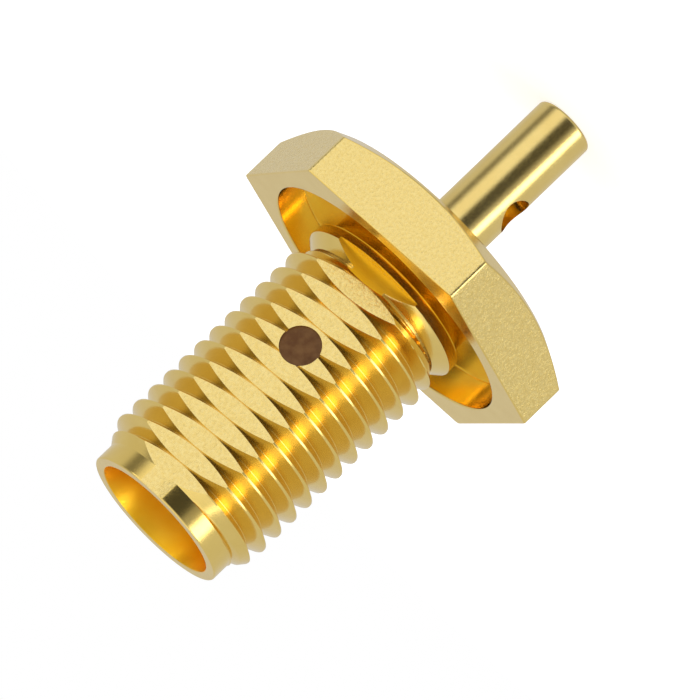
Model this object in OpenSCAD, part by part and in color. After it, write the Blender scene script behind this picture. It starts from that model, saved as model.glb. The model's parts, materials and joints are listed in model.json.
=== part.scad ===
// SMA bulkhead jack with a captive centre contact and a crimp stem.
// The connector stands on its own axis: +Z points out of the mating end, and
// z = 0 is the front face of the hexagonal flange, which seats on the panel.
// The anti-rotation flat of the barrel, and one flat of the hexagon, face -Y.
// All sizes are in millimetres.

/* [Hexagonal flange] */
// Width of the hexagon across its flats
hex_af = 11; // [10.6:0.1:14]
// Thickness of the flange
flange_t = 2.25; // [1.8:0.05:4]
// Angle between the corner chamfer and the back face
hex_chamfer_angle = 30; // [15:1:40]
// How far inside the flats the chamfer meets the back face
hex_chamfer_inset = 0.25; // [0.1:0.05:1]
// Outer diameter of the seal groove in the front face
seal_groove_d = 9.7; // [8:0.1:10]
// Depth of the seal groove
seal_groove_depth = 1.15; // [0.4:0.05:1.5]
// Diameter of the neck inside the seal groove
seal_neck_d = 5.6; // [5:0.05:6]

/* [Threaded barrel] */
// Length from the panel face to the mating end
barrel_len = 10.6; // [8:0.1:16]
// Major diameter of the coupling thread
thread_d = 6.32; // [6.2:0.01:6.6]
// Pitch of the coupling thread
thread_pitch = 0.7056; // [0.6:0.0001:0.8]
// Included angle of the thread's flanks
thread_angle = 60; // [55:1:70]
// Angle round the axis at which a crest crosses the panel face's height
thread_start = 37; // [0:1:359]
// Angle between the thread's lead-in at the nose and the axis
lead_angle = 37; // [30:1:50]
// Distance from the axis to the anti-rotation flat
flat_to_axis = 2.65; // [2.5:0.01:2.9]
// Height of the flat's end above the panel face
flat_start = 0.13; // [0:0.01:0.3]
// Diameter of the plain collar behind the thread
collar_d = 6.32; // [6:0.01:6.5]
// Width of the collar
collar_w = 0.8; // [0.6:0.05:1.2]
// How far the collar reaches down into the seal groove
collar_sink = 0.2; // [0:0.05:0.35]
// Angle between the collar's bevel and the axis
collar_bevel_angle = 50; // [40:1:60]
// Width of the relief between the collar and the thread
relief_w = 0.1; // [0.05:0.05:0.8]
// Diameter of the plain nose in front of the thread
nose_d = 5.38; // [5.3:0.01:5.6]
// Length of the nose
nose_len = 0.7; // [0.4:0.05:1.5]

/* [Mating interface] */
// Diameter of the bore that takes the plug's outer contact
mouth_d = 4.6; // [4.5:0.01:4.7]
// Depth of that bore, down to the reference plane
mouth_depth = 1.9; // [1.5:0.05:2.2]
// Diameter of the bore that holds the insulator
insulator_bore_d = 4.12; // [3.9:0.01:4.3]
// Outer diameter of the centre contact
contact_d = 1.27; // [1.2:0.01:1.4]
// Diameter of the socket for the plug's pin
socket_d = 0.95; // [0.9:0.01:1]
// Depth of the socket
socket_depth = 3.2; // [2.6:0.1:4]
// Width of the slots that make the socket's fingers
slot_w = 0.15; // [0.1:0.01:0.16]
// Length of the slots
slot_len = 2.4; // [1.5:0.1:2.5]

/* [Crimp stem] */
// Outer diameter of the stem
stem_d = 2.19; // [2:0.01:3]
// Length of the stem behind the flange
stem_len = 6.25; // [5:0.05:10]
// Bore for the cable's insulated core
cable_bore_d = 1.6; // [1.5:0.01:1.75]
// Clearance bore round the contact's tail
tail_bore_d = 1.25; // [1.1:0.01:1.3]
// Wall between the insulator and the back of the flange
back_wall = 1; // [0.5:0.05:1.4]
// Diameter of the soldering window
window_d = 1.3; // [0.8:0.05:1.4]
// Distance from the flange's back to the window's centre
window_pos = 2.75; // [2:0.05:3.5]
// Distance from the window's centre down to the stop for the cable's core
cable_stop_pos = 0.7; // [0.5:0.05:1]
// Diameter of the contact's solder tail
tail_d = 0.9; // [0.8:0.01:1]
// How far the tail reaches past the window's centre
tail_reach = 0.15; // [0:0.05:0.4]
// Thickness of the insulator's floor, on which the contact's shoulder sits
contact_seat = 0.8; // [0.5:0.1:1.5]
// Diameter of the solder cup in the tail's end
cup_d = 0.56; // [0.4:0.01:0.65]
// Depth of the solder cup
cup_depth = 1.3; // [0.8:0.1:2.5]

/* [Captivation] */
// Diameter of the resin-filled hole in the flat
resin_d = 1.4; // [1:0.05:1.6]
// Height of that hole above the panel face
resin_pos = 3.75; // [2.5:0.05:4.5]
// How far the resin lies below the flat
resin_recess = 0.08; // [0.02:0.01:0.3]
// Diameter of the contact's neck, which the resin grips
grip_neck_d = 0.8; // [0.6:0.01:1]
// Width of that neck
grip_neck_w = 1; // [0.6:0.05:1.2]

/* [Hidden] */
$fn = 96;

gold = [0.93, 0.76, 0.38];
contact_gold = [0.95, 0.74, 0.33];
insulator_white = [0.95, 0.94, 0.9];
resin_brown = [0.36, 0.22, 0.16];

slip = 0.01;        // radial clearance of a seated piece
edge = 0.12;        // broken outer edges of the turned parts
fine_edge = 0.05;   // lead-ins of the bores
over = 1;           // how far a cutter runs past the metal
stem_seam = 37.5;   // turn of the seam alone, so that the mount check's probes miss the window; no change of shape

// Levels along the axis
reference_z = barrel_len - mouth_depth;
back_z = -flange_t;
shoulder_z = back_z + back_wall;
contact_base_z = shoulder_z + contact_seat;
stem_end_z = back_z - stem_len;
window_z = back_z - window_pos;
cable_stop_z = window_z - cable_stop_pos;
tail_end_z = window_z - tail_reach;
collar_base_z = -collar_sink;
collar_top_z = collar_base_z + collar_w;
thread_base_z = collar_top_z + relief_w;
thread_top_z = barrel_len - nose_len;

// Thread: a V with narrow flats at its crest and its root
thread_steps = 36;  // sides per turn
crest_flat = thread_pitch / 13;
root_flat = thread_pitch / 16;
flank_run = (thread_pitch - crest_flat - root_flat) / 2;
thread_depth = flank_run / tan(thread_angle / 2);
crest_r = thread_d / 2;
root_r = crest_r - thread_depth;
nose_r = nose_d / 2;
relief_r = root_r + 0.1;   // the relief is shallower than the thread
core_r = root_r - 0.15;    // hidden core, which joins the thread to the barrel

// A cylinder between two heights
module rod(d, z0, z1) {
    translate([0, 0, z0]) cylinder(d = d, h = z1 - z0);
}

// A bore between two heights, with a lead-in at its upper (side = 1) or lower (side = -1) end
module bore(d, z0, z1, side) {
    mouth_z = side > 0 ? z1 : z0;
    rod(d, z0 - (side < 0 ? over : 0), z1 + (side > 0 ? over : 0));
    translate([0, 0, mouth_z]) mirror([0, 0, side > 0 ? 1 : 0])
        translate([0, 0, -over])
            cylinder(d1 = d + 2 * (fine_edge + over), d2 = d, h = fine_edge + over);
}

// ---- shell ----

// Points of the threaded rod: [height above its own start, radius] within one pitch
thread_section = [
    [0, root_r],
    [flank_run, crest_r],
    [flank_run + crest_flat, crest_r],
    [2 * flank_run + crest_flat, root_r]
];

// A right-hand threaded rod that covers the heights from z0 to z1.
// Its surface is four strips that follow the helix, and each turn's last strip joins the next turn.
// Both ends are spiral ramps, which the thread's envelope cuts off.
module threaded_rod(z0, z1) {
    n = thread_steps;
    first_turn = floor((z0 + flank_run + crest_flat / 2) / thread_pitch) - 1;
    start_z = first_turn * thread_pitch - flank_run - crest_flat / 2;
    turns = ceil((z1 - start_z) / thread_pitch) + 1;
    last = turns * n;
    corners = len(thread_section);
    function at(i, j) = corners * i + j;
    helix = [
        for (i = [0:last], corner = thread_section)
            let (a = 360 * i / n)
            [corner.y * cos(a), corner.y * sin(a), start_z + thread_pitch * i / n + corner.x]
    ];
    bottom = len(helix);
    top = bottom + 1;
    axis_points = [
        [0, 0, start_z + thread_pitch / 2],
        [0, 0, start_z + thread_pitch * turns]
    ];
    strips = [
        for (i = [0:last - 1], j = [0:corners - 2])
            each [[at(i, j), at(i + 1, j + 1), at(i + 1, j)],
                  [at(i, j), at(i, j + 1), at(i + 1, j + 1)]]
    ];
    joining_strip = [
        for (i = [0:last - n - 1])
            each [[at(i, corners - 1), at(i + n + 1, 0), at(i + 1, corners - 1)],
                  [at(i, corners - 1), at(i + n, 0), at(i + n + 1, 0)]]
    ];
    bottom_ramp = [for (i = [0:n - 1]) [bottom, at(i, 0), at(i + 1, 0)]];
    bottom_step = [[bottom, at(n, 0), for (j = [corners - 1:-1:0]) at(0, j)]];
    top_ramp = [for (i = [last - n:last - 1]) [top, at(i + 1, corners - 1), at(i, corners - 1)]];
    top_step = [[top, at(last - n, corners - 1), for (j = [0:corners - 1]) at(last, j)]];
    polyhedron(
        points = concat(helix, axis_points),
        faces = concat(strips, joining_strip, bottom_ramp, bottom_step, top_ramp, top_step),
        convexity = 10
    );
}

// The thread, with a lead-in that rises from the nose and a 45 degree run-out at the relief
module thread() {
    outer_r = crest_r + over;
    intersection() {
        rotate([0, 0, thread_start]) threaded_rod(thread_base_z, thread_top_z);
        rotate_extrude() polygon([
            [0, thread_base_z],
            [relief_r, thread_base_z],
            [outer_r, thread_base_z + outer_r - relief_r],
            [outer_r, thread_top_z - (outer_r - nose_r) / tan(lead_angle)],
            [nose_r, thread_top_z],
            [0, thread_top_z]
        ]);
    }
}

// Everything on the barrel that is turned: neck, collar, relief, core and nose
module turned_barrel() {
    neck_r = seal_neck_d / 2;
    collar_r = collar_d / 2;
    bevel_h = (collar_r - relief_r) / tan(collar_bevel_angle);
    rotate_extrude() polygon([
        [0, shoulder_z - back_wall / 2],
        [neck_r, shoulder_z - back_wall / 2],
        [neck_r, collar_base_z],
        [collar_r - edge, collar_base_z],
        [collar_r, collar_base_z + edge],
        [collar_r, collar_top_z - bevel_h],
        [relief_r, collar_top_z],
        [relief_r, thread_base_z],
        [core_r, thread_base_z],
        [core_r, thread_top_z],
        [nose_r, thread_top_z],
        for (a = [0:22.5:90])
            [nose_r - edge + edge * cos(a), barrel_len - edge + edge * sin(a)],
        [0, barrel_len]
    ]);
}

// Hexagonal flange with its corners chamfered at the back
module flange() {
    chamfer_r = hex_af / 2 - hex_chamfer_inset;
    corner_r = hex_af / sqrt(3) + over;
    intersection() {
        translate([0, 0, back_z]) linear_extrude(flange_t)
            circle(r = hex_af / sqrt(3), $fn = 6);
        rotate_extrude() polygon([
            [0, back_z],
            [chamfer_r, back_z],
            [corner_r, back_z + (corner_r - chamfer_r) * tan(hex_chamfer_angle)],
            [corner_r, over],
            [0, over]
        ]);
    }
}

// Ring cut into the flange's front face for the seal
module seal_groove() {
    difference() {
        rod(seal_groove_d, -seal_groove_depth, over);
        rod(seal_neck_d, -seal_groove_depth - over, 2 * over);
    }
}

// Stem for the crimped cable braid, with its end edge broken
module stem() {
    rotate([0, 0, stem_seam]) rotate_extrude() polygon([
        [0, stem_end_z],
        [stem_d / 2 - edge, stem_end_z],
        [stem_d / 2, stem_end_z + edge],
        [stem_d / 2, back_z + back_wall / 2],
        [0, back_z + back_wall / 2]
    ]);
}

// A hole drilled from -Y into the barrel, for the resin
module resin_hole(depth_y) {
    translate([0, -depth_y, resin_pos]) rotate([90, 0, 0]) cylinder(d = resin_d, h = thread_d);
}

module shell() {
    color(gold) difference() {
        union() {
            difference() {
                flange();
                seal_groove();
            }
            turned_barrel();
            thread();
            stem();
        }
        bore(mouth_d, reference_z, barrel_len, 1);
        rod(insulator_bore_d, shoulder_z, reference_z + over);
        rod(tail_bore_d, cable_stop_z - over, shoulder_z + over);
        bore(cable_bore_d, stem_end_z, cable_stop_z, -1);
        resin_hole(0);
        translate([0, 0, window_z]) rotate([0, -90, 0]) cylinder(d = window_d, h = stem_d);
        translate([-thread_d, -flat_to_axis - thread_d, flat_start])
            cube([2 * thread_d, thread_d, barrel_len]);
    }
}

// ---- insulator ----

module insulator() {
    color(insulator_white) difference() {
        rod(insulator_bore_d - 2 * slip, shoulder_z, reference_z);
        rod(contact_d + 2 * slip, contact_base_z, reference_z + over);
        rod(tail_d + 2 * slip, shoulder_z - over, contact_base_z + over);
        resin_hole(0);
    }
}

// ---- centre contact ----

module centre_contact() {
    color(contact_gold) difference() {
        rotate_extrude() polygon([
            [0, tail_end_z],
            [tail_d / 2, tail_end_z],
            [tail_d / 2, contact_base_z],
            [contact_d / 2, contact_base_z],
            [contact_d / 2, resin_pos - grip_neck_w / 2],
            [grip_neck_d / 2, resin_pos - grip_neck_w / 2],
            [grip_neck_d / 2, resin_pos + grip_neck_w / 2],
            [contact_d / 2, resin_pos + grip_neck_w / 2],
            [contact_d / 2, reference_z - fine_edge],
            [contact_d / 2 - fine_edge, reference_z],
            [0, reference_z]
        ]);
        bore(socket_d, reference_z - socket_depth, reference_z, 1);
        bore(cup_d, tail_end_z, tail_end_z + cup_depth, -1);
        for (a = [0, 90]) rotate([0, 0, a])
            translate([-contact_d, -slot_w / 2, reference_z - slot_len])
                cube([2 * contact_d, slot_w, slot_len + over]);
    }
}

// ---- resin plug ----

// Cured resin: it fills the drilled hole and the contact's neck, and stops short of the flat
module resin_plug() {
    color(resin_brown) intersection() {
        difference() {
            union() {
                resin_hole(0);
                rod(contact_d, resin_pos - grip_neck_w / 2, resin_pos + grip_neck_w / 2);
            }
            rod(grip_neck_d, resin_pos - resin_d, resin_pos + resin_d);
            difference() {
                rod(contact_d + 2 * slip, resin_pos - resin_d, resin_pos + resin_d);
                rod(2 * contact_d, resin_pos - grip_neck_w / 2, resin_pos + grip_neck_w / 2);
            }
        }
        translate([-thread_d, -flat_to_axis + resin_recess, 0])
            cube([2 * thread_d, 2 * thread_d, barrel_len]);
    }
}

shell();
insulator();
centre_contact();
resin_plug();
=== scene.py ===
"""Looks of a gold-plated coaxial panel jack: a fine shell, materials, a studio and the camera.

Everything is in the part's own frame, in metres: +Z out of the mating end, z = 0 on the flange's
front face, the barrel's flat towards -Y and the stem's soldering window towards -X.
"""

import json
import math

import bmesh
import bpy
import numpy as np
from mathutils import Matrix, Vector


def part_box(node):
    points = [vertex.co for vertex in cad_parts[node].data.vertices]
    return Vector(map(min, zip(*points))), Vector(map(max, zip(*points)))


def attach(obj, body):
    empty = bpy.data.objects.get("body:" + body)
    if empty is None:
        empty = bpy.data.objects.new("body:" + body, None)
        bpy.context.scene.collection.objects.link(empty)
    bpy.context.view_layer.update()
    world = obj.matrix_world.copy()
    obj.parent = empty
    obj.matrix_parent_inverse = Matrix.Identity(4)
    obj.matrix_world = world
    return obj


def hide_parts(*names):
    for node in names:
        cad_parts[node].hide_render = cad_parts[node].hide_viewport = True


MM = 0.001

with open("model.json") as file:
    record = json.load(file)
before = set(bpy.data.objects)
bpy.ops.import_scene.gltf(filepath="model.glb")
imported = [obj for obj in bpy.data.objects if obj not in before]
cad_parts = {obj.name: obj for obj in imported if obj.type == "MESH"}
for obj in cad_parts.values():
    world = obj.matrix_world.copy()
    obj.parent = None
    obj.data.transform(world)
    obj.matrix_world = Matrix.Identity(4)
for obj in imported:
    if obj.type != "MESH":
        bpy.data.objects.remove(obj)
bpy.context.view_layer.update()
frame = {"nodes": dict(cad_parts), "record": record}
mount_dims = {mount["name"]: mount["dims"] for mount in frame["record"]["mounts"]}

# ---- sizes of the shell ----

FIT_SLIP = 0.01 * MM        # slack of the insulator in its bore
BORE_LEAD_IN = 0.05 * MM    # end of the cable bore, which its mount leaves out

# From the frame
shell_low, shell_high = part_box("shell")
insulator_low, insulator_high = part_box("insulator")
resin_low, resin_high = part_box("resin_plug")
barrel_z = shell_high.z
stem_end_z = shell_low.z
hex_apothem = shell_high.y
reference_z = insulator_high.z
shoulder_z = insulator_low.z
insulator_bore_r = insulator_high.x + FIT_SLIP
resin_hole_r = (resin_high.x - resin_low.x) / 2
resin_z = (resin_high.z + resin_low.z) / 2
mouth_r = mount_dims["mating_bore"]["r_mm"] * MM
stem_r = mount_dims["crimp_stem"]["r_mm"] * MM
cable_bore_r = mount_dims["cable_bore"]["r_mm"] * MM
cable_stop_z = stem_end_z + mount_dims["cable_bore"]["length_mm"] * MM + BORE_LEAD_IN

# Repeated from the part's source
FLANGE_T = 2.25 * MM
CHAMFER_ANGLE = math.radians(30)
CHAMFER_R = hex_apothem - 0.25 * MM
GROOVE_R = 4.85 * MM
GROOVE_DEPTH = 1.15 * MM
NECK_R = 2.8 * MM
CREST_R = 3.16 * MM
RELIEF_R = 2.734 * MM
PITCH = 0.7056 * MM
FLANK_ANGLE = math.radians(60)
THREAD_START = math.radians(37)
LEAD_ANGLE = math.radians(37)
FLAT_DISTANCE = 2.65 * MM
FLAT_START = 0.13 * MM
COLLAR_R = 3.16 * MM
COLLAR_BASE_Z = -0.2 * MM
COLLAR_TOP_Z = 0.6 * MM
COLLAR_BEVEL_ANGLE = math.radians(50)
BEVEL_H = (COLLAR_R - RELIEF_R) / math.tan(COLLAR_BEVEL_ANGLE)
THREAD_BASE_Z = 0.7 * MM
THREAD_TOP_Z = barrel_z - 0.7 * MM
NOSE_R = 2.69 * MM
TAIL_BORE_R = 0.625 * MM
WINDOW_R = 0.65 * MM
WINDOW_Z = -5 * MM

# Finish of the edges, rounder or finer than in the part's source
EDGE = 0.12 * MM            # broken outer edges, of the source's size
NOSE_EDGE = 0.05 * MM
COLLAR_BREAK = 0.02 * MM    # where the collar's bevel meets its side
FINE_EDGE = 0.04 * MM       # edges that only lost their burr
CREST_FLAT = 0.076 * MM
ROOT_FLAT = 0.012 * MM
CREST_BREAK = 0.012 * MM    # how far the crest's edges are rounded to either side
ROUND = 0.012 * MM          # softness of the hexagon's corners
CORNER_LOSS = 0.02 * MM     # what the hexagon's corners lost

FLANK_RUN = (PITCH - CREST_FLAT - ROOT_FLAT) / 2
FLANK_SLOPE = 1 / math.tan(FLANK_ANGLE / 2)

# Fineness of the mesh
COLUMNS = 264               # round the axis
CORNER_STEPS = (0.15, 0.3, 0.45, 0.7)  # degrees from a corner of the hexagon to its extra columns
FLANK_ROWS = 3              # rings on each flank of the thread
END_FLANK_ROWS = 14         # the same near the thread's ends, where the envelope cuts it
BRACE = 0.02 * MM           # from the end of a long band to its extra ring
LONG_BAND = 6 * BRACE
WELD_DISTANCE = 0.0015 * MM
SHARP_ANGLE = math.radians(32)

# Tolerances for telling the shell's surfaces apart
ON_PLANE = 0.001 * MM       # how near a face lies to the plane it belongs to
NEAR = 0.01 * MM            # slack round a region of the surface
SQUARE_ON = 0.999           # least part of a face's normal along a direction that it faces


# ---- shell ----

def column_angles():
    """Angles of the columns, closer together beside the corners of the hexagon."""
    angles = set(np.round(np.arange(COLUMNS) * 2 * np.pi / COLUMNS, 9))
    for corner in range(6):
        for step in CORNER_STEPS:
            angles.add(round(math.radians(60 * corner + step), 9))
            angles.add(round(math.radians((60 * corner - step) % 360), 9))
    return np.array(sorted(angles) + [2 * np.pi])


THETA = column_angles()


def hexagon_radius():
    """Distance from the axis to the hexagon's side in each column, with softly rounded corners."""
    from_corner = np.abs((THETA + np.pi / 6) % (np.pi / 3) - np.pi / 6)
    sharp = hex_apothem / np.cos(np.pi / 6 - from_corner)
    corner = hex_apothem / math.cos(np.pi / 6)
    short_of_corner = (corner - sharp) / ROUND
    return corner - ROUND * np.log(np.exp(short_of_corner) + np.exp(CORNER_LOSS / ROUND))


def thread_profile(flank_rows):
    """One pitch of the thread: heights above its lower crest's middle, depths below its crests."""
    edge = CREST_FLAT / 2
    half = [
        (edge - CREST_BREAK, 0),
        (edge - 0.2 * CREST_BREAK, 0.25 * CREST_BREAK),
        (edge + 0.6 * CREST_BREAK, 0.6 * CREST_BREAK * FLANK_SLOPE),
    ]
    for run in np.linspace(CREST_BREAK, FLANK_RUN, flank_rows):
        half.append((edge + run, run * FLANK_SLOPE))
    return np.array(half + [(PITCH - z, depth) for z, depth in reversed(half)]).T


def thread_rings():
    """Rings that follow the helix from the nose to the relief, within a lead-in and a run-out."""
    turn = PITCH * (THETA - THREAD_START) / (2 * np.pi)
    first = math.floor((THREAD_BASE_Z - turn.max()) / PITCH) - 1
    last = math.ceil((THREAD_TOP_Z - turn.min()) / PITCH) + 1
    rings = []
    for n in range(last, first, -1):
        low, high = n * PITCH + turn.min(), (n + 1) * PITCH + turn.max()
        at_end = low < THREAD_BASE_Z + PITCH or high > THREAD_TOP_Z - PITCH
        heights, depths = thread_profile(END_FLANK_ROWS if at_end else FLANK_ROWS)
        for height, depth in zip(heights[::-1], depths[::-1]):
            z = n * PITCH + turn + height
            rings.append(enveloped(CREST_R - depth, z, np.clip(z, THREAD_BASE_Z, THREAD_TOP_Z)))
    return [ring for ring in rings if np.ptp(ring[1]) > 0]


def enveloped(r, z, inside):
    """One ring within the thread's envelope. Points past an end move to the envelope's corner."""
    lead_in = NOSE_R + (THREAD_TOP_Z - inside) * math.tan(LEAD_ANGLE)
    run_out = RELIEF_R + inside - THREAD_BASE_Z
    r = np.minimum(r, np.minimum(lead_in, run_out))
    r = np.where(z >= THREAD_TOP_Z, NOSE_R, np.where(z <= THREAD_BASE_Z, RELIEF_R, r))
    return r, inside


def braced(rings):
    """Adds a ring near both ends of every long band, so that soft shading stays in short bands."""
    result = []
    for (r0, z0), (r1, z1) in zip(rings, rings[1:]):
        result.append((r0, z0))
        length = float(np.min(np.hypot(np.asarray(r1) - r0, np.asarray(z1) - z0)))
        if length > LONG_BAND:
            for share in (BRACE / length, 1 - BRACE / length):
                result.append((r0 + (r1 - r0) * share, z0 + (z1 - z0) * share))
    return result + [rings[-1]]


def arc(r, z, radius, first, last, steps=4):
    """Rings on an arc round (r, z), from the first to the last angle in degrees."""
    angles = np.radians(np.linspace(first, last, steps + 1))
    return [(r + radius * math.cos(a), z + radius * math.sin(a)) for a in angles]


def shell_rings():
    """The shell's outline as rings of (radius, height): down the outside and back up the bores."""
    side_r = hexagon_radius()
    chamfer_z = -FLANGE_T + np.maximum(side_r - CHAMFER_R, 0) * math.tan(CHAMFER_ANGLE)
    rear_corner = np.maximum(side_r - FINE_EDGE, CHAMFER_R)
    rear_corner_z = -FLANGE_T + (rear_corner - CHAMFER_R) * math.tan(CHAMFER_ANGLE)
    above_thread = braced([
        (mouth_r + FINE_EDGE, barrel_z),
        *arc(NOSE_R - NOSE_EDGE, barrel_z - NOSE_EDGE, NOSE_EDGE, 90, 0),
        (NOSE_R, THREAD_TOP_Z),
    ])[1:]
    below_thread = braced([
        (RELIEF_R, THREAD_BASE_Z),
        (RELIEF_R, COLLAR_TOP_Z),
        (COLLAR_R - COLLAR_BREAK, COLLAR_TOP_Z - BEVEL_H + 0.75 * COLLAR_BREAK),
        (COLLAR_R, COLLAR_TOP_Z - BEVEL_H - 0.5 * COLLAR_BREAK),
        *arc(COLLAR_R - EDGE, COLLAR_BASE_Z + EDGE, EDGE, 0, -90),
        (NECK_R + FINE_EDGE, COLLAR_BASE_Z),
        (NECK_R, COLLAR_BASE_Z - FINE_EDGE),
        *arc(NECK_R + FINE_EDGE, FINE_EDGE - GROOVE_DEPTH, FINE_EDGE, 180, 270, 2),
        *arc(GROOVE_R - FINE_EDGE, FINE_EDGE - GROOVE_DEPTH, FINE_EDGE, -90, 0, 2),
        *arc(GROOVE_R + FINE_EDGE, -FINE_EDGE, FINE_EDGE, 180, 90, 3),
        (side_r - FINE_EDGE, 0),
        (side_r - 0.3 * FINE_EDGE, -0.3 * FINE_EDGE),
        (side_r, -FINE_EDGE),
        (side_r, chamfer_z + FINE_EDGE),
        (side_r - 0.2 * FINE_EDGE, chamfer_z + 0.2 * FINE_EDGE),
        (rear_corner, rear_corner_z),
        (CHAMFER_R, -FLANGE_T),
        *arc(stem_r + FINE_EDGE, -FLANGE_T - FINE_EDGE, FINE_EDGE, 90, 180, 2),
        *arc(stem_r - EDGE, stem_end_z + EDGE, EDGE, 0, -90),
    ])
    outside = above_thread + thread_rings() + below_thread
    inside = [
        *arc(cable_bore_r + FINE_EDGE, stem_end_z + FINE_EDGE, FINE_EDGE, 270, 180, 2),
        (cable_bore_r, cable_stop_z),
        (TAIL_BORE_R, cable_stop_z),
        (TAIL_BORE_R, shoulder_z),
        (insulator_bore_r, shoulder_z),
        (insulator_bore_r, reference_z),
        (mouth_r, reference_z),
        *arc(mouth_r + FINE_EDGE, barrel_z - FINE_EDGE, FINE_EDGE, 180, 90, 2),
    ]
    return outside + inside


def revolved(name, rings):
    """A closed solid from rings of (radius, height). Either may differ from column to column."""
    columns = len(THETA)
    rows = len(rings)
    points = np.empty((rows, columns, 3))
    for row, (r, z) in enumerate(rings):
        points[row, :, 0] = r * np.cos(THETA)
        points[row, :, 1] = r * np.sin(THETA)
        points[row, :, 2] = z
    grid = np.meshgrid(np.arange(rows), np.arange(columns - 1), indexing="ij")
    row, column = (numbers.ravel() for numbers in grid)
    below = (row + 1) % rows
    corners = (row * columns + column, below * columns + column,
               below * columns + column + 1, row * columns + column + 1)
    faces = np.stack(corners, axis=1)
    mesh = bpy.data.meshes.new(name)
    mesh.from_pydata(points.reshape(-1, 3).tolist(), [], faces.tolist())
    weld(mesh)
    return linked(name, mesh)


def weld(mesh):
    """Merges points that coincide, and makes the faces point outwards."""
    bm = bmesh.new()
    bm.from_mesh(mesh)
    bmesh.ops.remove_doubles(bm, verts=bm.verts, dist=WELD_DISTANCE)
    bmesh.ops.triangulate(bm, faces=[f for f in bm.faces if len(f.verts) > 3])
    bmesh.ops.recalc_face_normals(bm, faces=bm.faces)
    bm.to_mesh(mesh)
    bm.free()


def linked(name, mesh):
    piece = bpy.data.objects.new(name, mesh)
    bpy.context.scene.collection.objects.link(piece)
    return piece


def block(name, low, high):
    bm = bmesh.new()
    bmesh.ops.create_cube(bm, size=1)
    size = Vector(high) - Vector(low)
    middle = (Vector(high) + Vector(low)) / 2
    bm.transform(Matrix.Translation(middle) @ Matrix.Diagonal(size).to_4x4())
    mesh = bpy.data.meshes.new(name)
    bm.to_mesh(mesh)
    bm.free()
    return linked(name, mesh)


def drill(name, radius, start, direction, length, sides=72):
    """A closed cylinder that runs from start along a direction."""
    bm = bmesh.new()
    bmesh.ops.create_cone(
        bm, cap_ends=True, segments=sides, radius1=radius, radius2=radius, depth=length)
    turn = Vector(direction).to_track_quat("Z", "Y").to_matrix().to_4x4()
    bm.transform(Matrix.Translation(Vector(start) + Vector(direction) * length / 2) @ turn)
    mesh = bpy.data.meshes.new(name)
    bm.to_mesh(mesh)
    bm.free()
    return linked(name, mesh)


def cut(piece, cutters):
    """Takes the cutters out of the piece, and deletes them."""
    for cutter in cutters:
        modifier = piece.modifiers.new("cut", "BOOLEAN")
        modifier.operation = "DIFFERENCE"
        modifier.solver = "EXACT"
        modifier.object = cutter
    bpy.context.view_layer.update()
    evaluated = piece.evaluated_get(bpy.context.evaluated_depsgraph_get())
    mesh = bpy.data.meshes.new_from_object(evaluated)
    piece.modifiers.clear()
    piece.data = mesh
    for cutter in cutters:
        bpy.data.objects.remove(cutter)


# The shell's finishes, in the order of its materials. The recess and bore materials are gold with
# a deeper orange painted in as a painted reflection: the light that the gold walls mirror to each
# other
TURNED, MILLED, STEM, RECESS_PAINTED_REFLECTION, BORE_PAINTED_REFLECTION = range(5)


def finish_at(at, normal):
    """Which finish a face of the shell has, and whether it is shaded smooth. The recess, the bores
    and the flat beside the flange get gold with a painted reflection.
    """
    r = math.hypot(at.x, at.y)
    faces_axis = at.x * normal.x + at.y * normal.y < -0.5 * r
    on_flat = normal.y < -SQUARE_ON and abs(at.y + FLAT_DISTANCE) < ON_PLANE
    on_step = normal.z > SQUARE_ON and abs(at.z - FLAT_START) < ON_PLANE
    on_flange = r > (GROOVE_R + hex_apothem) / 2 and -FLANGE_T < at.z < 0
    beside_recess = r < GROOVE_R + NEAR and -GROOVE_DEPTH - NEAR < at.z < COLLAR_BASE_Z + NEAR
    in_recess = beside_recess and (faces_axis or r > COLLAR_R or at.z < COLLAR_BASE_Z - NEAR)
    if on_flat:  # beside the flange it takes the bores' deeper colour, a painted reflection of the recess that it mirrors
        return BORE_PAINTED_REFLECTION if at.z < COLLAR_TOP_Z else MILLED, False
    if on_step:
        return MILLED, False
    if on_flange and abs(normal.z) < 0.01:  # the hexagon's sides
        return MILLED, True
    # painted reflection: the recess gets gold with a deeper orange painted in for the light its
    # gold walls mirror to each other
    if in_recess:
        return RECESS_PAINTED_REFLECTION, True
    # painted reflection: the bores get gold with a deeper orange painted in for the light their
    # gold walls mirror to each other
    if faces_axis and r < mouth_r + NEAR:
        return BORE_PAINTED_REFLECTION, True
    return STEM if at.z < -FLANGE_T else TURNED, True


def make_shell():
    shell = revolved("gold_shell", shell_rings())
    side = 2 * CREST_R
    cut(shell, [
        block("flat_cutter",
              (-side, -FLAT_DISTANCE - side, FLAT_START),
              (side, -FLAT_DISTANCE, barrel_z + side)),
        drill("resin_cutter", resin_hole_r, (0, 0, resin_z), (0, -1, 0), side),
        drill("window_cutter", WINDOW_R, (0, 0, WINDOW_Z), (-1, 0, 0), side),
    ])
    mesh = shell.data
    for face in mesh.polygons:
        face.material_index, face.use_smooth = finish_at(face.center, face.normal)
    mesh.set_sharp_from_angle(angle=SHARP_ANGLE)
    return shell


# ---- materials ----

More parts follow.
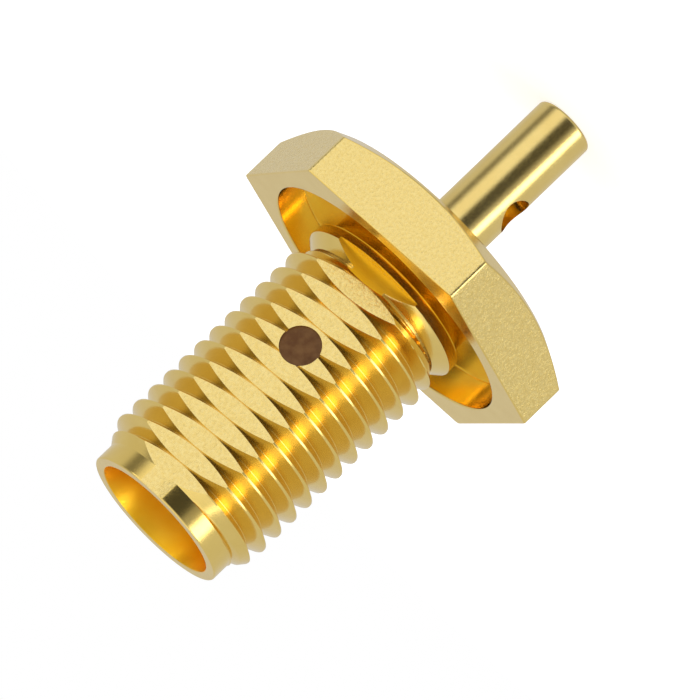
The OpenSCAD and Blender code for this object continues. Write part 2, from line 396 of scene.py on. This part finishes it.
class Surface:
    """A material in object space, with helpers for its nodes."""

    def __init__(self, name, metallic):
        self.material = bpy.data.materials.new(name)
        self.material.use_nodes = True
        self.nodes, self.links = self.material.node_tree.nodes, self.material.node_tree.links
        self.shader = self.nodes["Principled BSDF"]
        self.shader.inputs["Metallic"].default_value = metallic
        self.place = self.nodes.new("ShaderNodeTexCoord").outputs["Object"]
        self.normal = None

    def scaled(self, vector, scale):
        """A place in mm, times a scale."""
        mapping = self.nodes.new("ShaderNodeMapping")
        mapping.inputs["Scale"].default_value = (scale / MM,) * 3
        self.links.new(vector, mapping.inputs["Vector"])
        return mapping.outputs["Vector"]

    def turned(self):
        """Place on a turned surface: distance from the axis and height."""
        split = self.nodes.new("ShaderNodeSeparateXYZ")
        self.links.new(self.place, split.inputs["Vector"])
        flat = self.nodes.new("ShaderNodeCombineXYZ")
        self.links.new(split.outputs["X"], flat.inputs["X"])
        self.links.new(split.outputs["Y"], flat.inputs["Y"])
        length = self.nodes.new("ShaderNodeVectorMath")
        length.operation = "LENGTH"
        self.links.new(flat.outputs["Vector"], length.inputs["Vector"])
        join = self.nodes.new("ShaderNodeCombineXYZ")
        self.links.new(length.outputs["Value"], join.inputs["X"])
        self.links.new(split.outputs["Z"], join.inputs["Y"])
        return join.outputs["Vector"]

    def noise(self, size, detail=3, place=None, roughness=0.5):
        """Noise with features of a size in mm."""
        texture = self.nodes.new("ShaderNodeTexNoise")
        texture.inputs["Scale"].default_value = 1
        texture.inputs["Detail"].default_value = detail
        texture.inputs["Roughness"].default_value = roughness
        self.links.new(self.scaled(place or self.place, 1 / size), texture.inputs["Vector"])
        return texture.outputs["Fac"]

    def spread(self, value, low, high, to_low, to_high):
        """The value's range from low to high, spread over another. It is cut off at both ends."""
        node = self.nodes.new("ShaderNodeMapRange")
        node.inputs["From Min"].default_value = low
        node.inputs["From Max"].default_value = high
        node.inputs["To Min"].default_value = to_low
        node.inputs["To Max"].default_value = to_high
        self.links.new(value, node.inputs["Value"])
        return node.outputs["Result"]

    def blend(self, share, first, second):
        """A colour between two. Each may be a colour or a socket."""
        mix = self.nodes.new("ShaderNodeMix")
        mix.data_type = "RGBA"
        for socket, colour in (("A", first), ("B", second)):
            if isinstance(colour, tuple):
                mix.inputs[socket].default_value = (*colour, 1)
            else:
                self.links.new(colour, mix.inputs[socket])
        self.links.new(share, mix.inputs["Factor"])
        return mix.outputs["Result"]

    def bump(self, height, distance):
        """Relief of a depth in mm, on top of the relief that is there."""
        bump = self.nodes.new("ShaderNodeBump")
        bump.inputs["Strength"].default_value = 1
        bump.inputs["Distance"].default_value = distance * MM
        self.links.new(height, bump.inputs["Height"])
        if self.normal:
            self.links.new(self.normal, bump.inputs["Normal"])
        self.normal = bump.outputs["Normal"]

    def finish(self, colour, roughness):
        self.links.new(colour, self.shader.inputs["Base Color"])
        self.links.new(roughness, self.shader.inputs["Roughness"])
        self.links.new(self.normal, self.shader.inputs["Normal"])
        return self.material


def turned_gold(name, bright, deep, roughness, lathe):
    """Plate on turned metal: fine lines round the axis, and faint clouds of colour."""
    s = Surface(name, 1)
    lines = s.noise(0.035, 3, place=s.turned(), roughness=0.7)
    grain = s.noise(0.045, 2)
    s.bump(lines, lathe)
    s.bump(grain, 0.0012)
    colour = s.blend(s.spread(s.noise(0.9, 4), 0.35, 0.65, 0, 1), bright, deep)
    return s.finish(colour, s.spread(grain, 0.3, 0.7, roughness * 0.8, roughness * 1.25))


def milled_gold(name, bright, deep, roughness, frost):
    """Plate on milled metal: a frosting of small bright and dull grains."""
    s = Surface(name, 1)
    grain = s.noise(0.1, 3, roughness=0.6)
    s.bump(grain, frost)
    s.bump(s.noise(0.5, 2), 0.004)
    colour = s.blend(s.spread(grain, 0.3, 0.7, 0, 1), bright, deep)
    return s.finish(colour, s.spread(s.noise(0.11, 3), 0.3, 0.7, roughness * 0.7, roughness * 1.3))


def fluoropolymer():
    s = Surface("insulator_white", 0)
    s.shader.inputs["Subsurface Weight"].default_value = 0.2
    s.shader.inputs["Subsurface Scale"].default_value = 0.4 * MM
    rings = s.noise(0.06, 2, place=s.turned())
    s.bump(rings, 0.003)
    cloud = s.spread(s.noise(0.6, 3), 0.35, 0.65, 0, 1)
    colour = s.blend(cloud, (0.86, 0.85, 0.8), (0.8, 0.79, 0.73))
    return s.finish(colour, s.spread(rings, 0.3, 0.7, 0.35, 0.5))


def cured_resin():
    s = Surface("resin_brown", 0)
    s.shader.inputs["Specular IOR Level"].default_value = 0.2
    mottle = s.noise(0.35, 4)
    s.bump(s.noise(0.12, 3), 0.004)
    colour = s.blend(s.spread(mottle, 0.35, 0.65, 0, 1), (0.2, 0.095, 0.03), (0.13, 0.052, 0.014))
    return s.finish(colour, s.spread(mottle, 0.3, 0.7, 0.28, 0.42))


def dress(piece, *materials):
    indices = [face.material_index for face in piece.data.polygons]
    piece.data.materials.clear()
    for material in materials:
        piece.data.materials.append(material)
    if len(materials) > 1:
        piece.data.polygons.foreach_set("material_index", indices)


# ---- camera ----

CAMERA_AZIMUTH = -17.08     # degrees
CAMERA_ELEVATION = 14.45    # degrees
CAMERA_ROLL = 133.89        # degrees, from upright to the mating end pointing down and to the left
CAMERA_DISTANCE = 300 * MM
VIEW_WIDTH = 22.742 * MM    # what the picture's width covers at the object
ORIGIN_RIGHT = 1.11 * MM    # where the part's origin lies in the picture, from its centre
ORIGIN_UP = 1.657 * MM


def camera_axes():
    """Unit vectors that point right and up in the picture, and from the object to the camera."""
    a, e, r = (math.radians(v) for v in (CAMERA_AZIMUTH, CAMERA_ELEVATION, CAMERA_ROLL))
    level_right = Vector((math.cos(a), math.sin(a), 0))
    level_up = Vector((-math.sin(a) * math.sin(e), math.cos(a) * math.sin(e), math.cos(e)))
    right = math.cos(r) * level_right - math.sin(r) * level_up
    up = math.sin(r) * level_right + math.cos(r) * level_up
    return right, up, right.cross(up)


RIGHT, UP, BACK = camera_axes()


def place_camera():
    data = bpy.data.cameras.new("camera")
    data.sensor_width = 36
    data.lens = data.sensor_width * CAMERA_DISTANCE / VIEW_WIDTH
    data.clip_start = CAMERA_DISTANCE / 10
    data.clip_end = CAMERA_DISTANCE * 10
    camera = bpy.data.objects.new("camera", data)
    target = -ORIGIN_RIGHT * RIGHT - ORIGIN_UP * UP
    turn = Matrix((RIGHT, UP, BACK)).transposed().to_4x4()
    camera.matrix_world = Matrix.Translation(target + BACK * CAMERA_DISTANCE) @ turn
    bpy.context.scene.collection.objects.link(camera)
    bpy.context.scene.camera = camera


# ---- studio ----

# The studio as the barrel mirrors it. Angles in degrees go round the part's axis from the camera's
# side, positive towards the lower right of the picture. Heights are those of unit directions along
# the axis. Each entry: middle angle, half width, softness; middle height, half height, softness;
# what it adds to the brightness.
STUDIO_BASE = 0.66
ALL_ROUND = (0, 200, 1)
STUDIO = {
    "overhead box": (-40, 22, 7, 0, 0.8, 0.2, 0.36),
    "dark above the box": (-80, 11, 8, 0, 0.8, 0.2, -0.44),
    "dark beside the camera": (3, 20, 6, -0.25, 0.3, 0.2, -0.6),
    "dim gap": (31, 9, 5, -0.25, 0.3, 0.2, -0.28),
    "strip light": (55, 11, 5, -0.25, 0.35, 0.2, 2.6),
    "strip light's far end": (58, 5, 3, 0.4, 0.4, 0.1, 2.8),
    "back strip": (-68, 3, 3, 0.4, 0.4, 0.1, 2.2),
    "light before the mouth": (*ALL_ROUND, 0.95, 0.12, 0.06, 0.4),
    "dim below": (*ALL_ROUND, -0.9, 0.15, 0.05, -0.12),
}


class Studio:
    """The world: white for the camera, lights and dark gaps on a pale base for all other rays."""

    def __init__(self):
        world = bpy.data.worlds.new("studio")
        world.use_nodes = True
        self.nodes, self.links = world.node_tree.nodes, world.node_tree.links
        axis = Vector((0, 0, 1))
        ahead = (BACK - axis * BACK.z).normalized()
        self.towards = self.nodes.new("ShaderNodeTexCoord").outputs["Generated"]
        sideways = self.part(ahead.cross(axis))
        angle = self.math("DEGREES", self.math("ARCTAN2", sideways, self.part(ahead)))
        height = self.part(axis)
        light = None
        for middle, width, soft, level, extent, blur, strength in STUDIO.values():
            patch = self.math("MULTIPLY", self.window(angle, middle, width, soft),
                              self.window(height, level, extent, blur))
            patch = self.math("MULTIPLY", patch, strength)
            light = self.math("ADD", patch, STUDIO_BASE if light is None else light)
        pick = self.nodes.new("ShaderNodeMix")
        pick.data_type = "FLOAT"
        camera_ray = self.nodes.new("ShaderNodeLightPath").outputs["Is Camera Ray"]
        self.links.new(camera_ray, pick.inputs["Factor"])
        self.links.new(light, pick.inputs["A"])
        pick.inputs["B"].default_value = 1
        background = self.nodes["Background"]
        background.inputs["Color"].default_value = (1, 1, 1, 1)
        self.links.new(pick.outputs["Result"], background.inputs["Strength"])
        bpy.context.scene.world = world

    def part(self, direction):
        """How far the looked-at direction goes along this one."""
        dot = self.nodes.new("ShaderNodeVectorMath")
        dot.operation = "DOT_PRODUCT"
        dot.inputs[1].default_value = direction
        self.links.new(self.towards, dot.inputs[0])
        return dot.outputs["Value"]

    def math(self, operation, *values):
        node = self.nodes.new("ShaderNodeMath")
        node.operation = operation
        for socket, value in zip(node.inputs, values):
            if isinstance(value, (int, float)):
                socket.default_value = value
            else:
                self.links.new(value, socket)
        return node.outputs["Value"]

    def window(self, value, middle, half, soft):
        """1 where the value lies within half of the middle, and 0 beyond, with a soft edge."""
        distance = self.math("ABSOLUTE", self.math("SUBTRACT", value, middle))
        node = self.nodes.new("ShaderNodeMapRange")
        node.interpolation_type = "SMOOTHSTEP"
        node.inputs["From Min"].default_value = half + soft
        node.inputs["From Max"].default_value = half - soft
        self.links.new(distance, node.inputs["Value"])
        return node.outputs["Result"]


FLOOR_R = 60 * MM
FLOOR_SIDES = 96
FLOOR_GAP = 0.01 * MM       # between the stem's end and the floor
FLOOR_GREY = 0.8
FLOOR_LIFT = 0.6            # glow for the camera alone, so that the lit floor shows as white


def make_floor():
    """Pale floor under the stem's end. Metal mirrors the studio through it."""
    bm = bmesh.new()
    bmesh.ops.create_circle(bm, cap_ends=True, segments=FLOOR_SIDES, radius=FLOOR_R)
    mesh = bpy.data.meshes.new("floor")
    bm.to_mesh(mesh)
    bm.free()
    floor = linked("floor", mesh)
    floor.location.z = stem_end_z - FLOOR_GAP
    material = bpy.data.materials.new("floor")
    material.use_nodes = True
    nodes, links = material.node_tree.nodes, material.node_tree.links
    nodes.remove(nodes["Principled BSDF"])
    ray = nodes.new("ShaderNodeLightPath")

    def join(kind, factor, first, second):
        node = nodes.new(kind)
        sockets = list(node.inputs)
        if factor is not None:
            links.new(factor, sockets.pop(0))
        links.new(first, sockets[0])
        links.new(second, sockets[1])
        return node.outputs[0]

    def either(*values):
        total = values[0]
        for value in values[1:]:
            node = nodes.new("ShaderNodeMath")
            node.operation = "MAXIMUM"
            links.new(total, node.inputs[0])
            links.new(value, node.inputs[1])
            total = node.outputs["Value"]
        return total

    pale = nodes.new("ShaderNodeBsdfDiffuse")
    pale.inputs["Color"].default_value = (FLOOR_GREY, FLOOR_GREY, FLOOR_GREY, 1)
    white = nodes.new("ShaderNodeEmission")
    share = nodes.new("ShaderNodeMath")
    share.operation = "MULTIPLY"
    share.inputs[1].default_value = FLOOR_LIFT
    links.new(ray.outputs["Is Camera Ray"], share.inputs[0])
    links.new(share.outputs["Value"], white.inputs["Strength"])
    clear = nodes.new("ShaderNodeBsdfTransparent")
    unseen = either(ray.outputs["Is Glossy Ray"],
                    ray.outputs["Is Transmission Ray"],
                    ray.outputs["Is Shadow Ray"],
                    nodes.new("ShaderNodeNewGeometry").outputs["Backfacing"])
    shown = join("ShaderNodeAddShader", None, pale.outputs[0], white.outputs[0])
    surface = join("ShaderNodeMixShader", unseen, shown, clear.outputs[0])
    links.new(surface, nodes["Material Output"].inputs["Surface"])
    mesh.materials.append(material)


# ---- the scene ----

shell = make_shell()
dress(shell,
      turned_gold("turned_gold", (0.89, 0.66, 0.205), (0.86, 0.625, 0.18), 0.16, 0.0012),
      milled_gold("milled_gold", (0.93, 0.74, 0.3), (0.86, 0.64, 0.21), 0.25, 0.012),
      turned_gold("stem_gold", (0.89, 0.68, 0.25), (0.86, 0.64, 0.22), 0.2, 0.0025),
      # painted reflection: the recess and bore golds are deeper orange than the turned gold,
      # standing in for the light that the gold walls mirror to each other
      turned_gold("recess_gold_painted_reflection", (0.95, 0.69, 0.12), (0.93, 0.62, 0.09), 0.12, 0.0006),
      turned_gold("bore_gold_painted_reflection", (0.95, 0.57, 0.035), (0.92, 0.52, 0.02), 0.35, 0.0006))
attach(shell, "root")
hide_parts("shell")

dress(frame["nodes"]["centre_contact"],
      turned_gold("contact_gold", (0.87, 0.62, 0.24), (0.84, 0.6, 0.22), 0.15, 0.001))
dress(frame["nodes"]["insulator"], fluoropolymer())
dress(frame["nodes"]["resin_plug"], cured_resin())

place_camera()
Studio()
make_floor()
bpy.context.scene.view_settings.view_transform = "Standard"
